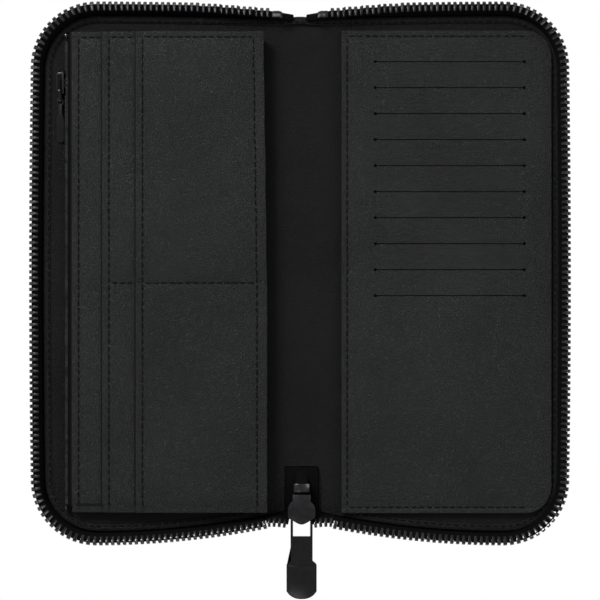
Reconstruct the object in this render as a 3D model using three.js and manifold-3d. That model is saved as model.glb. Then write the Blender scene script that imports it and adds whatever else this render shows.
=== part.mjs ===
// A zip-around long wallet, unzipped and lying open on its back. Lengths are in millimetres.
// The origin is on the underside of the outer cover, in the middle of the spine.
// +X runs to the card side, +Y to the top edge and +Z up, out of the open wallet.
import * as THREE from "three";
import { mergeVertices } from "three/addons/utils/BufferGeometryUtils.js";
import Module from "manifold-3d";

// Outline of one half of the cover, seen from above
const spineWidth = 14.6; // between the two fold lines
const foldGap = 0.3; // from a fold line to the sheets on each side of it
const sideReach = 97.4; // from the spine's middle to the bowed side edge
const sideBow = 0.6; // how far the side bows out between its corners
const sideCorner = sideReach - sideBow;
const topPeak = 96.6;
const topFall = 3.2; // from the top's peak to the spine
const topAtSpine = topPeak - topFall;
const bottomPeak = -97.6;
const bottomRise = 7.0;
const bottomAtSpine = bottomPeak + bottomRise;
const cornerRadius = 20;

// Sheets, from the table up
const coverThick = 1.2;
const boardThick = 0.8;
const liningThick = 0.8;
const bindingThick = 0.6;
const boardInset = 6.2;
const boardSpineInset = 1.4;
const liningInset = 0.4;
const bindingWidth = 2.6;

// Main zip: the tape's hem is sewn in under the lining, and its wall stands round the rim
const hemWidth = 5.5;
const hemOverhang = 0.6;
const wallThick = 0.6;
const wallFoot = 0.3; // from the cover's edge to the wall's foot
const wallHeight = 6.3;
const wallLean = 0.55; // how far the wall leans out on its way up
const wallTail = 2.6; // of free tape beyond the fold line at the top
const chainGap = 0.35; // from the tape's edge to the teeth
const toothPitch = 2.2;
const toothWidth = 1.3;
const toothReach = 2.9;
const toothRoot = 1.0;
const toothThick = 1.7;
const toothRise = 48; // degrees from the table
const chainStart = 3.2; // from the fold line, at the top
const chainEnd = 5.2; // from the fold line, at the bottom
const topStopLength = 4.2;
const topStopReach = 2.2;
const topStopGap = 0.6; // from the stop to the first tooth
const topStopEnd = chainStart - topStopGap;

// Main slider, which stands in the notch of the spine with its pull towards the table
const sliderX = 0.6;
const sliderTipClear = 2.7; // from the bottom's peak up to the slider's tip
const sliderTipY = bottomPeak + sliderTipClear;
const sliderMouthRun = 2.7;
const sliderMouthY = sliderTipY + sliderMouthRun;
const sliderWideRun = 2.6;
const sliderWideY = sliderMouthY + sliderWideRun;
const sliderShoulderRun = 3.2;
const sliderShoulderY = sliderWideY + sliderShoulderRun;
const sliderNeckRun = 2.7;
const sliderNeckY = sliderShoulderY + sliderNeckRun;
const sliderNeckHalf = 3.4;
const sliderHalf = 5.2;
const embed = 0.2; // how far the parts of one casting run into each other
const platesThick = 1.0;
const channelHeight = 2.2;
const flangeWidth = 0.8;
const flangeHeight = 0.6;
const crownClear = 0.3; // from the cover to the crown
const crownThick = 0.7;
const crownWidth = 2.4;
const crownPost = 1.2;
const crownFrontInset = 0.9; // of the crown from the slider's tip
const crownFrontY = sliderTipY + crownFrontInset;
const crownLength = 9.1;
const crownBackY = crownFrontY + crownLength;
const notchHalf = 5.4;
const notchClear = 9.1; // from the slider's neck to the notch's top
const notchTopY = sliderNeckY + notchClear;

// Main pull
const pullPlay = 0.3; // between the ring and the crown or the plate
const pullThick = 0.9;
const pullHeadThick = 1.35;
const pullRingWidth = 8.4;
const pullRingWall = 0.95;
const pullWindow = 7.7;
const pullNeckEnd = 16.2;
const pullShoulderEnd = 17.9;
const pullHeadWidth = 11.5;
const pullStraightEnd = 27.9;
const pullLength = 31.0;

// Tail of the zip, where both chains end in the notch
const tailHalf = 2.2;
const tailThick = 0.6;
const tailFlatLength = 4.3;
const tailFlatY = sliderNeckY + tailFlatLength;
const tailInSlider = 1.2;
const tailDrop = 2.0;
const tailFallLength = 4.4;
const tailEndY = tailFlatY + tailFallLength;
const tailStopHalf = 3.0;
const tailStopWall = 0.3;
const tailStopGap = 0.3;
const tailStopLength = 3.3;
const tailStopEnd = tailFlatY - 0.2;

// Pocket block on the left half
const blockSideClear = 11.6; // from the cover's side edge to the block
const blockLeft = -(sideReach - blockSideClear);
const blockRight = -12.6;
const blockTopClear = 6.8;
const blockTop = topPeak - blockTopClear;
const blockBottomClear = 7.2;
const blockBottom = bottomPeak + blockBottomClear;
const panelThick = 0.8;
const outerPanelStep = 11.8; // between the left edges of the stacked panels
const innerPanelStep = 12.7;
const outerPanelLeft = blockLeft + outerPanelStep;
const innerPanelLeft = outerPanelLeft + innerPanelStep;
const coinInset = 1.2; // of the coin pocket's sides from the block's edge
const coinTop = blockTop - coinInset;
const coinBottomInset = 2.8;
const coinBottom = blockBottom + coinBottomInset;
const coinSheet = 0.5;
const coinDepth = 3.7;
const gussetWidth = 2.5;

// Coin zip along the block's left edge. Its chain faces left.
const coinTapeWidth = 7.6;
const coinLipReach = 1.8; // of the tape's lip beyond the block's edge
const coinTapeLip = blockLeft - coinLipReach;
const coinTapeInner = coinTapeLip + coinTapeWidth;
const coinTapeThick = 0.4;
const coinLipHeight = 1.1;
const coinChainGap = 0.3;
const coinChainThick = 1.0;
const coinToothPitch = 1.7;
const coinToothRoot = 0.7;
const coinToothPass = 0.35; // how far a tooth passes the chain's middle
const coinStopHeight = 1.2;

// Coin slider, its link and its pull
const coinSliderDown = 17.8; // from the block's top edge to the slider's middle
const coinSliderY = blockTop - coinSliderDown;
const coinSliderLength = 8.9;
const coinSliderHalf = 2.05;
const coinPlateThick = 0.7;
const coinBackHalf = 1.15;
const coinPostHalf = 0.45;
const coinPostLength = 3.0;
const coinRunning = 0.3;
const coinCrownReach = 2.4;
const coinCrownBar = 0.6;
const coinCrownHalf = 0.5;
const coinCrownPost = 1.0;
const coinCrownInset = 0.5;
const linkInner = 1.05;
const linkWire = 0.65;
const linkThick = 0.8;
const linkLength = 2.5;
const eyeHole = 0.7;
const eyeRadius = 1.4;
const bladeThick = 0.8;
const bladeWaistHalf = 0.7;
const bladeWaistAt = 4.2;
const bladeHalf = 1.5;
const bladeWideAt = 7.5;
const bladeLength = 15.1;

// Card panel on the right half
const cardLeft = 15.7;
const cardSideClear = 2.8;
const cardRight = sideReach - cardSideClear;
const cardTopClear = 4.8;
const cardTop = topPeak - cardTopClear;
const cardBottomClear = 8.2;
const cardBottom = bottomPeak + cardBottomClear;
const cardCorner = 14;
const cardBackingInset = 3.0;
const cardBackingThick = 0.6;
const pocketLiningThick = 1.0;
const cardPanelThick = 1.0;
const slotCount = 10;
const slotPitch = 9.84;
const slotTopClear = 11.8; // from the panel's top edge to the first slot
const slotTopY = cardTop - slotTopClear;
const slotLength = 56.4; // a standard card is 54 mm across
const slotSideClear = 9.7; // from the slots to the panel's outer side
const slotLeft = cardRight - slotSideClear - slotLength;
const slotWidth = 0.5;
const slotEye = 0.7; // radius of the round hole at each end of a slot

// Heights that follow from the sheets
const foldX = spineWidth / 2;
const sheetX = foldX + foldGap;
const boardZ = coverThick;
const liningZ = boardZ + boardThick;
const floorZ = liningZ + liningThick;
const bindingTop = floorZ + bindingThick;

// The rim of the right half, from the fold line at the top, clockwise to the fold line at the bottom
const curveSteps = 5;
const cornerSteps = 8;
const sideSteps = 6;
const cornerX = sideCorner - cornerRadius;
const rim = new THREE.CurvePath();
const topCurve = new THREE.QuadraticBezierCurve(
  new THREE.Vector2(sheetX, topAtSpine),
  new THREE.Vector2((sheetX + cornerX) / 2, topPeak),
  new THREE.Vector2(cornerX, topPeak),
);
const sideCurve = new THREE.QuadraticBezierCurve(
  new THREE.Vector2(sideCorner, topPeak - cornerRadius),
  new THREE.Vector2(2 * sideReach - sideCorner, (topPeak + bottomPeak) / 2),
  new THREE.Vector2(sideCorner, bottomPeak + cornerRadius),
);
const bottomCurve = new THREE.QuadraticBezierCurve(
  new THREE.Vector2(cornerX, bottomPeak),
  new THREE.Vector2((sheetX + cornerX) / 2, bottomPeak),
  new THREE.Vector2(sheetX, bottomAtSpine),
);
const cornerArc = (y, from, to) =>
  new THREE.EllipseCurve(cornerX, y, cornerRadius, cornerRadius, from, to, true);
rim.add(topCurve);
rim.add(cornerArc(topPeak - cornerRadius, Math.PI / 2, 0));
rim.add(sideCurve);
rim.add(cornerArc(bottomPeak + cornerRadius, 0, -Math.PI / 2));
rim.add(bottomCurve);
const rimLength = rim.getLength();

// A point on the rim at a distance along it, moved outwards by an offset. Before the rim's start it runs on straight.
function rimPoint(along, outset) {
  const t = THREE.MathUtils.clamp(along / rimLength, 0, 1);
  const point = rim.getPoint(t);
  const tangent = rim.getTangent(t);
  const straight = along < 0 ? along : 0;
  return new THREE.Vector2(
    point.x + tangent.x * straight - tangent.y * outset,
    point.y + tangent.y * straight + tangent.x * outset,
  );
}

// The stations along the rim at which sheets and tapes are cut into straight pieces
function rimStations(from, to) {
  const lengths = rim.curves.map((curve) => curve.getLength());
  const steps = [curveSteps, cornerSteps, sideSteps, cornerSteps, curveSteps];
  const stations = [from];
  let start = 0;
  lengths.forEach((length, i) => {
    for (let k = 0; k < steps[i]; k += 1) {
      const along = start + (length * k) / steps[i];
      if (along > from + 1 && along < to - 1) stations.push(along);
    }
    start += length;
  });
  stations.push(to);
  return stations;
}

// Closed solids from an outline. place(point, level) gives the point in space on the lower (0) or upper (1) face.
// Triangles, where they are given, belong to an outline that turns anticlockwise.
function solidFromOutline(outline, place, triangles) {
  const points =
    !triangles && THREE.ShapeUtils.isClockWise(outline) ? [...outline].reverse() : outline;
  const faces = triangles ?? THREE.ShapeUtils.triangulateShape(points, []);
  const count = points.length;
  const positions = [];
  [0, 1].forEach((level) => {
    points.forEach((point) => positions.push(...place(point, level).toArray()));
  });
  const index = [];
  faces.forEach(([a, b, c]) => {
    index.push(c, b, a);
    index.push(a + count, b + count, c + count);
  });
  for (let i = 0; i < count; i += 1) {
    const j = (i + 1) % count;
    index.push(i, j, j + count);
    index.push(i, j + count, i + count);
  }
  return indexedGeometry(positions, index);
}

// A closed solid through a row of sections, each the same number of points in the same turning sense
function solidThroughSections(sections, profile) {
  const size = profile.length;
  const positions = sections.flat().flatMap((point) => point.toArray());
  const index = [];
  for (let k = 0; k + 1 < sections.length; k += 1) {
    for (let i = 0; i < size; i += 1) {
      const a = k * size + i;
      const b = k * size + ((i + 1) % size);
      index.push(a, b, b + size);
      index.push(a, b + size, a + size);
    }
  }
  const last = (sections.length - 1) * size;
  THREE.ShapeUtils.triangulateShape(profile, []).forEach(([a, b, c]) => {
    index.push(c, b, a);
    index.push(a + last, b + last, c + last);
  });
  return indexedGeometry(positions, index);
}

function indexedGeometry(positions, index) {
  const geometry = new THREE.BufferGeometry();
  geometry.setAttribute("position", new THREE.Float32BufferAttribute(positions, 3));
  geometry.setIndex(index);
  return geometry;
}

// A flat sheet or plate between two heights
function plate(shape, low, high) {
  const geometry = new THREE.ExtrudeGeometry(shape, {
    depth: high - low,
    bevelEnabled: false,
    curveSegments: 8,
  });
  return geometry.translate(0, 0, low);
}

// A bar of constant section. Its shape is drawn as (Y, Z) and runs along X.
function barAlongX(shape, low, high) {
  const turn = new THREE.Matrix4().makeBasis(
    new THREE.Vector3(0, 1, 0),
    new THREE.Vector3(0, 0, 1),
    new THREE.Vector3(1, 0, 0),
  );
  return plate(shape, low, high).applyMatrix4(turn);
}

// A bar of constant section. Its shape is drawn as (X, Z) and runs along Y.
function barAlongY(shape, low, high) {
  const turn = new THREE.Matrix4().makeBasis(
    new THREE.Vector3(1, 0, 0),
    new THREE.Vector3(0, 0, 1),
    new THREE.Vector3(0, -1, 0),
  );
  return plate(shape, -high, -low).applyMatrix4(turn);
}

function polygon(points) {
  return new THREE.Shape(points.map(([x, y]) => new THREE.Vector2(x, y)));
}

function rectangle(left, right, bottom, top) {
  return polygon([
    [left, bottom],
    [right, bottom],
    [right, top],
    [left, top],
  ]);
}

// Joins of solids
const wasm = await Module();
wasm.setup();

function toSolid(geometry) {
  const bare = new THREE.BufferGeometry();
  bare.setAttribute("position", geometry.getAttribute("position"));
  if (geometry.index) bare.setIndex(geometry.index);
  const merged = mergeVertices(bare, 1e-4);
  return new wasm.Manifold(
    new wasm.Mesh({
      numProp: 3,
      vertProperties: new Float32Array(merged.getAttribute("position").array),
      triVerts: new Uint32Array(merged.index.array),
    }),
  );
}

function join(...geometries) {
  const solid = geometries.map(toSolid).reduce((all, next) => all.add(next));
  const mesh = solid.getMesh();
  return indexedGeometry(Array.from(mesh.vertProperties), Array.from(mesh.triVerts));
}

// Materials
const blackLeather = new THREE.MeshStandardMaterial({ color: 0x2d2e2e, roughness: 0.6 });
const liningLeather = new THREE.MeshStandardMaterial({ color: 0x191919, roughness: 0.7 });
const blackCloth = new THREE.MeshStandardMaterial({ color: 0x0c0c0d, roughness: 0.9 });
const blackMetal = new THREE.MeshStandardMaterial({
  color: 0x2a2a2c,
  roughness: 0.25,
  metalness: 0.9,
});
const board = new THREE.MeshStandardMaterial({ color: 0x8a7a62, roughness: 0.9 });

const wallet = new THREE.Group();

function add(name, geometry, material, parent = wallet) {
  const mesh = new THREE.Mesh(geometry, material);
  mesh.name = name;
  parent.add(mesh);
  return mesh;
}

// A sheet with the outline of one half, set in from the rim and cut straight beside the spine
function halfSheet(inset, innerEdge, low, high) {
  const points = rimStations(0, rimLength).map((along) => {
    const point = rimPoint(along, -inset);
    return new THREE.Vector2(Math.max(point.x, innerEdge), point.y);
  });
  points[0].x = innerEdge;
  points[points.length - 1].x = innerEdge;
  return solidFromOutline(points, ({ x, y }, level) =>
    new THREE.Vector3(x, y, level ? high : low),
  );
}

// A flat band that follows the rim between two offsets
function rimBand(outer, inner, low, high) {
  const stations = rimStations(0, rimLength);
  const edge = (outset) =>
    stations.map((along, i) => {
      const point = rimPoint(along, outset);
      if (i === 0 || i === stations.length - 1) point.x = sheetX;
      return point;
    });
  const points = [...edge(outer), ...edge(inner).reverse()];
  return solidFromOutline(points, ({ x, y }, level) =>
    new THREE.Vector3(x, y, level ? high : low),
  );
}

// The tape's wall in section: (offset from the cover's edge, height), from its foot to its top edge
const wallTopOffset = wallFoot + wallLean;
const wallSection = [
  [wallFoot, boardZ],
  [wallFoot + wallThick, boardZ],
  [wallFoot + wallThick, floorZ],
  [wallTopOffset + wallThick, wallHeight - 0.1],
  [wallTopOffset, wallHeight + 0.1],
  [wallFoot + 0.1, floorZ],
].map(([offset, height]) => new THREE.Vector2(offset, height));

function wallSectionAt(along, low, rise) {
  return wallSection.map((corner) => {
    const point = rimPoint(along, corner.x);
    const height = Math.max(low, boardZ + (corner.y - boardZ) * rise);
    return new THREE.Vector3(point.x, point.y, height);
  });
}

function tapeWall(from, to) {
  const sections = rimStations(from, to).map((along) => wallSectionAt(along, boardZ, 1));
  return solidThroughSections(sections, wallSection);
}

// Where the teeth stand on the tape's edge: reach runs outwards and up, face is square to it
const riseAngle = THREE.MathUtils.degToRad(toothRise);
const chainOffset = wallTopOffset + wallThick / 2 + chainGap * Math.cos(riseAngle);
const chainHeight = wallHeight + chainGap;

function onRim(along, reach, lift) {
  const outset = chainOffset + reach * Math.cos(riseAngle) - lift * Math.sin(riseAngle);
  const point = rimPoint(along, outset);
  const height = chainHeight + reach * Math.sin(riseAngle) + lift * Math.cos(riseAngle);
  return new THREE.Vector3(point.x, point.y, height);
}

// Outline of a row of teeth on their root strip, as (distance along, reach)
function toothRow(from, count) {
  const root = [];
  const teeth = [];
  for (let i = 0; i < count; i += 1) {
    const start = from + i * toothPitch;
    root.push(new THREE.Vector2(start, 0));
    teeth.push(new THREE.Vector2(start, toothRoot));
    teeth.push(new THREE.Vector2(start, toothReach));
    teeth.push(new THREE.Vector2(start + toothWidth, toothReach));
    teeth.push(new THREE.Vector2(start + toothWidth, toothRoot));
  }
  root.push(new THREE.Vector2(from + (count - 1) * toothPitch + toothWidth, 0));
  return [...root, ...teeth.reverse()];
}

// Triangles of such a row that stay within one tooth's length, so that they follow the rim round its corners
function toothTriangles(count) {
  const corner = (tooth, k) => 5 * count - 4 * tooth - k;
  const triangles = [];
  for (let i = 0; i < count; i += 1) {
    const [near, nearTip, farTip, far] = [0, 1, 2, 3].map((k) => corner(i, k));
    triangles.push([near, far, farTip], [near, farTip, nearTip]);
    triangles.push([i, i + 1, far], [i, far, near]);
    if (i + 1 < count) triangles.push([i + 1, corner(i + 1, 0), far]);
  }
  return triangles;
}

const halfTooth = toothThick / 2;
const placeTooth = (point, level) =>
  onRim(point.x, point.y, level ? halfTooth : -halfTooth);
const chainToothCount = Math.floor((rimLength - chainEnd - chainStart) / toothPitch);
const chainLength = chainToothCount * toothPitch;

// The pieces that both halves have. The left half is the right one mirrored.
function addHalf(side, mirror) {
  const pieces = [
    ["outer_cover_", halfSheet(0, sheetX, 0, coverThick), blackLeather],
    ["stiffener_", halfSheet(boardInset, sheetX + boardSpineInset, boardZ, liningZ), board],
    ["lining_", halfSheet(liningInset, sheetX, liningZ, floorZ), liningLeather],
    [
      "rim_binding_",
      rimBand(-liningInset, -liningInset - bindingWidth, floorZ, bindingTop),
      liningLeather,
    ],
    [
      "zip_tape_",
      join(
        rimBand(hemOverhang, -hemWidth, boardZ, liningZ),
        tapeWall(-wallTail, rimLength - chainEnd),
      ),
      blackCloth,
    ],
    [
      "zip_chain_",
      solidFromOutline(
        toothRow(chainStart, chainToothCount),
        placeTooth,
        toothTriangles(chainToothCount),
      ),
      blackMetal,
    ],
    [
      "zip_top_stop_",
      solidFromOutline(
        rectangle(topStopEnd - topStopLength, topStopEnd, 0, topStopReach).getPoints(),
        placeTooth,
      ),
      blackMetal,
    ],
  ];
  pieces.forEach(([name, geometry, material]) => {
    add(name + side, geometry, material).scale.x = mirror;
  });
}

addHalf("left", -1);
addHalf("right", 1);

// Spine: the cover's strip, and its lining with the notch in which the slider stands
const spineX = foldX - foldGap;
add(
  "outer_cover_spine",
  plate(rectangle(-spineX, spineX, bottomAtSpine, topAtSpine), 0, coverThick),
  blackLeather,
);
add(
  "lining_spine",
  plate(
    polygon([
      [-spineX, bottomAtSpine + liningInset],
      [-notchHalf, bottomAtSpine + liningInset],
      [-notchHalf, notchTopY],
      [notchHalf, notchTopY],
      [notchHalf, bottomAtSpine + liningInset],
      [spineX, bottomAtSpine + liningInset],
      [spineX, topAtSpine - liningInset],
      [-spineX, topAtSpine - liningInset],
    ]),
    coverThick,
    coverThick + liningThick,
  ),
  liningLeather,
);

// Main slider: a front plate over the crown, a channel for the chain and a plain back plate on top
const crownLow = coverThick + crownClear;
const crownTop = crownLow + crownThick;
const frontLow = crownTop + pullThick + 2 * pullPlay;
const frontTop = frontLow + platesThick;
const backLow = frontTop + channelHeight;
const backTop = backLow + platesThick;
const channelMiddle = (frontTop + backLow) / 2;

const sliderOutline = new THREE.Shape();
sliderOutline.moveTo(-sliderNeckHalf, sliderNeckY);
sliderOutline.lineTo(-sliderNeckHalf, sliderShoulderY);
sliderOutline.quadraticCurveTo(-sliderHalf, sliderShoulderY - 1.6, -sliderHalf, sliderWideY);
sliderOutline.lineTo(-sliderHalf, sliderMouthY + 0.6);
sliderOutline.quadraticCurveTo(-sliderHalf, sliderMouthY - 0.4, -sliderHalf * 0.7, sliderMouthY - 1);
sliderOutline.quadraticCurveTo(-1.2, sliderTipY, 0, sliderTipY);
sliderOutline.quadraticCurveTo(1.2, sliderTipY, sliderHalf * 0.7, sliderMouthY - 1);
sliderOutline.quadraticCurveTo(sliderHalf, sliderMouthY - 0.4, sliderHalf, sliderMouthY + 0.6);
sliderOutline.lineTo(sliderHalf, sliderWideY);
sliderOutline.quadraticCurveTo(sliderHalf, sliderShoulderY - 1.6, sliderNeckHalf, sliderShoulderY);
sliderOutline.lineTo(sliderNeckHalf, sliderNeckY);

function sliderFlange(side) {
  return polygon([
    [side * sliderNeckHalf, sliderNeckY],
    [side * sliderNeckHalf, sliderShoulderY],
    [side * sliderHalf, sliderWideY],
    [side * sliderHalf, sliderMouthY + 0.6],
    [side * (sliderHalf - flangeWidth), sliderMouthY + 0.6],
    [side * (sliderHalf - flangeWidth), sliderWideY],
    [side * (sliderNeckHalf - flangeWidth), sliderShoulderY],
    [side * (sliderNeckHalf - flangeWidth), sliderNeckY],
  ]);
}

const crownSection = polygon([
  [crownFrontY, frontLow + embed],
  [crownFrontY, crownLow],
  [crownBackY, crownLow],
  [crownBackY, frontLow + embed],
  [crownBackY - crownPost, frontLow + embed],
  [crownBackY - crownPost, crownTop],
  [crownFrontY + crownPost, crownTop],
  [crownFrontY + crownPost, frontLow + embed],
]);
const dividerHalf = 1.4;
const divider = polygon([
  [0, sliderMouthY - 2],
  [dividerHalf, sliderMouthY],
  [0, sliderWideY],
  [-dividerHalf, sliderMouthY],
]);
add(
  "main_slider",
  join(
    plate(sliderOutline, frontLow, frontTop),
    plate(sliderOutline, backLow, backTop),
    plate(divider, frontTop - embed, backLow + embed),
    ...[-1, 1].flatMap((side) => [
      plate(sliderFlange(side), frontTop - embed, frontTop + flangeHeight),
      plate(sliderFlange(side), backLow - flangeHeight, backLow + embed),
    ]),
    barAlongX(crownSection, -crownWidth / 2, crownWidth / 2),
  ),
  blackMetal,
).position.x = sliderX;

// Main pull: its ring goes round the crown's front post, and its tip rests on the table
const pullPivotY = crownFrontY + crownPost + pullPlay + 0.15 + pullThick / 2;
const pullPivotZ = crownTop + pullPlay + pullThick / 2;
const halfPull = pullThick / 2;
const ringHalf = pullRingWidth / 2;
const headHalf = pullHeadWidth / 2;
const headBulge = pullLength * 2 - pullStraightEnd;

const pullShape = new THREE.Shape();
pullShape.moveTo(-ringHalf, halfPull);
pullShape.lineTo(-ringHalf, -pullNeckEnd);
pullShape.quadraticCurveTo(-headHalf, -pullShoulderEnd + 0.6, -headHalf, -pullShoulderEnd);
pullShape.lineTo(-headHalf, -pullStraightEnd);
pullShape.quadraticCurveTo(-headHalf * 0.7, -pullLength, 0, -pullLength);
pullShape.quadraticCurveTo(headHalf * 0.7, -pullLength, headHalf, -pullStraightEnd);
pullShape.lineTo(headHalf, -pullShoulderEnd);
pullShape.quadraticCurveTo(headHalf, -pullShoulderEnd + 0.6, ringHalf, -pullNeckEnd);
pullShape.lineTo(ringHalf, halfPull);
const windowHalf = ringHalf - pullRingWall;
pullShape.holes.push(
  new THREE.Path(
    rectangle(-windowHalf, windowHalf, -halfPull - pullWindow, -halfPull).getPoints(),
  ),
);
const headInset = 0.7;
const headShape = new THREE.Shape();
headShape.moveTo(-headHalf + headInset, -pullShoulderEnd);
headShape.lineTo(-headHalf + headInset, -pullStraightEnd + headInset);
headShape.quadraticCurveTo(0, headInset - headBulge, headHalf - headInset, -pullStraightEnd + headInset);
headShape.lineTo(headHalf - headInset, -pullShoulderEnd);
const pull = add(
  "main_pull",
  join(
    plate(pullShape, -halfPull, halfPull),
    plate(headShape, halfPull - embed, pullHeadThick - halfPull),
  ),
  blackMetal,
);
pull.position.set(sliderX, pullPivotY, pullPivotZ);
pull.rotation.x = Math.asin((pullPivotZ - halfPull - 0.05) / pullLength);

// Tail of the tape: from the slider's channel it drops to the cover at the top of the notch
const tailLow = channelMiddle - tailThick / 2;
const tailTop = channelMiddle + tailThick / 2;
add(
  "zip_tail_tape",
  barAlongX(
    polygon([
      [sliderNeckY - tailInSlider, tailLow],
      [tailFlatY, tailLow],
      [tailFlatY + tailDrop, coverThick],
      [tailEndY, coverThick],
      [tailEndY, coverThick + tailThick],
      [tailFlatY + tailDrop + 0.3, coverThick + tailThick],
      [tailFlatY + 0.3, tailTop],
      [sliderNeckY - tailInSlider, tailTop],
    ]),
    sliderX - tailHalf,
    sliderX + tailHalf,
  ),
  blackCloth,
);
const tailStop = rectangle(
  sliderX - tailStopHalf,
  sliderX + tailStopHalf,
  tailLow - tailStopGap - tailStopWall,
  tailTop + tailStopGap + tailStopWall,
);
tailStop.holes.push(
  new THREE.Path(
    rectangle(
      sliderX - tailHalf - tailStopGap,
      sliderX + tailHalf + tailStopGap,
      tailLow - tailStopGap,
      tailTop + tailStopGap,
    ).getPoints(),
  ),
);
add(
  "zip_tail_stop",
  barAlongY(tailStop, tailStopEnd - tailStopLength, tailStopEnd),
  blackMetal,
);

// Bridges: the last teeth and tape of each half, which bend from the rim into the slider's mouth
const bridgeGap = 0.3;
const bridgeSteps = 8;
const bridgeTeeth = 3;
const bridgeFall = 0.35; // share of its height that the tape loses on its way to the slider
const mouthX = sliderHalf - 0.6;
const mouthY = sliderMouthY;
function bridgeFrame(along, mirror) {
  const t = along / (bridgeTeeth * toothPitch);
  const from = onRim(chainStart + chainLength + bridgeGap, 0, 0);
  const to = new THREE.Vector3(mouthX + mirror * sliderX, mouthY, channelMiddle);
  const middle = new THREE.Vector3((from.x + to.x) / 2, from.y, to.z);
  const curve = new THREE.QuadraticBezierCurve3(from, middle, to);
  const reach = new THREE.Vector3(0, -Math.cos(riseAngle), Math.sin(riseAngle))
    .lerp(new THREE.Vector3(-0.6, -0.8, 0), t)
    .normalize();
  const face = curve.getTangent(t).cross(reach).normalize();
  return { point: curve.getPoint(t), reach, face };
}

function addBridge(side, mirror) {
  const place = (corner, level) => {
    const { point, reach, face } = bridgeFrame(corner.x, mirror);
    return point
      .addScaledVector(reach, corner.y)
      .addScaledVector(face, level ? halfTooth : -halfTooth);
  };
  add(
    "zip_chain_bridge_" + side,
    solidFromOutline(toothRow(0, bridgeTeeth), place, toothTriangles(bridgeTeeth)),
    blackMetal,
  ).scale.x = mirror;

  const start = rimLength - chainEnd + bridgeGap;
  const sections = [];
  for (let k = 0; k <= bridgeSteps; k += 1) {
    const along = start + ((rimLength - start) * k) / bridgeSteps;
    sections.push(wallSectionAt(along, liningZ + bridgeGap, 1 - (bridgeFall * k) / bridgeSteps));
  }
  add(
    "zip_tape_bridge_" + side,
    solidThroughSections(sections, wallSection),
    blackCloth,
  ).scale.x = mirror;
}

addBridge("left", -1);
addBridge("right", 1);

// Pocket block: a zipped coin pocket, a long slip pocket on it and four card pockets on that
const coinLeft = blockLeft + coinInset;
const coinRight = blockRight - coinInset + 0.2;
const coinFloor = floorZ + coinSheet;
const coinCeiling = coinFloor + coinDepth;
const slipZ = coinCeiling + coinSheet;
const outerZ = slipZ + panelThick;
const innerZ = outerZ + panelThick;
const gussetLeft = coinTapeInner + 0.3;

const coinPanel = rectangle(coinLeft, coinRight, coinBottom, coinTop);
add("coin_back_panel", plate(coinPanel, floorZ, coinFloor), blackCloth);
add("coin_front_panel", plate(coinPanel, coinCeiling, slipZ), blackCloth);
const gussets = {
  coin_gusset_top: rectangle(gussetLeft, coinRight, coinTop - gussetWidth, coinTop),
  coin_gusset_bottom: rectangle(gussetLeft, coinRight, coinBottom, coinBottom + gussetWidth),
  coin_gusset_side: rectangle(
    coinRight - gussetWidth,
    coinRight,
    coinBottom + gussetWidth,
    coinTop - gussetWidth,
  ),
};
Object.entries(gussets).forEach(([name, shape]) => {
  add(name, plate(shape, coinFloor, coinCeiling), blackCloth);
});
[
  ["slip_pocket_panel", blockLeft, slipZ],
  ["card_pocket_panel_outer", outerPanelLeft, outerZ],
  ["card_pocket_panel_inner", innerPanelLeft, innerZ],
].forEach(([name, left, low]) => {
  const shape = rectangle(left, blockRight, blockBottom, blockTop);
  add(name, plate(shape, low, low + panelThick), blackLeather);
});

// Coin zip: two tapes with a lip each, two rows of teeth that mesh, and the stops at their ends
const coinMiddle = (coinFloor + coinCeiling) / 2;
function coinTape(base, up) {
  const lip = coinTapeLip + coinTapeThick;
  return polygon([
    [coinTapeInner, base],
    [coinTapeLip, base],
    [coinTapeLip, base + up * coinLipHeight],
    [lip, base + up * coinLipHeight],
    [lip, base + up * coinTapeThick],
    [coinTapeInner, base + up * coinTapeThick],
  ]);
}

// A row of coin zip teeth, drawn as (Y, Z). No teeth stand where the slider holds the rows apart.
const toothTip = coinMiddle;
const sliderClear = coinSliderLength / 2 + 0.6;
function coinTeeth(base, up, phase) {
  const rootTop = base + up * coinToothRoot;
  const tip = toothTip + up * coinToothPass;
  const points = [
    [coinTop, base],
    [coinBottom, base],
    [coinBottom, rootTop],
  ];
  const count = Math.floor((coinTop - coinBottom) / coinToothPitch) - 1;
  for (let i = 0; i < count; i += 1) {
    const start = coinBottom + phase + 0.4 + i * coinToothPitch;
    const middle = start + coinToothPitch / 4;
    if (Math.abs(middle - coinSliderY) > sliderClear) {
      points.push([start, rootTop]);
      points.push([middle, tip]);
      points.push([start + coinToothPitch / 2, rootTop]);
    }
  }
  points.push([coinTop, rootTop]);
  return polygon(points);
}

const coinChainRight = coinTapeLip - coinChainGap;
const coinChainLeft = coinChainRight - coinChainThick;
const chainRoot = coinTapeThick;
const rows = [
  ["lower", coinFloor, 1, 0],
  ["upper", coinCeiling, -1, coinToothPitch / 2],
];
rows.forEach(([name, base, up, phase]) => {
  add("coin_zip_tape_" + name, barAlongY(coinTape(base, up), coinBottom, coinTop), blackCloth);
  add(
    "coin_zip_chain_" + name,
    barAlongX(coinTeeth(base + up * chainRoot, up, phase), coinChainLeft, coinChainRight),
    blackMetal,
  );
  const stopLow = Math.min(base + up * chainRoot, base + up * (chainRoot + coinStopHeight));
  add(
    "coin_zip_stop_" + name,
    barAlongX(
      rectangle(coinTop + 0.3, coinTop + 1.8, stopLow, stopLow + coinStopHeight),
      coinChainLeft,
      coinChainRight,
    ),
    blackMetal,
  );
});
add(
  "coin_zip_end_stop",
  barAlongX(
    rectangle(
      coinBottom - 1.9,
      coinBottom - 0.3,
      coinFloor + chainRoot,
      coinCeiling - chainRoot,
    ),
    coinChainLeft,
    coinChainRight,
  ),
  blackMetal,
);

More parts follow.
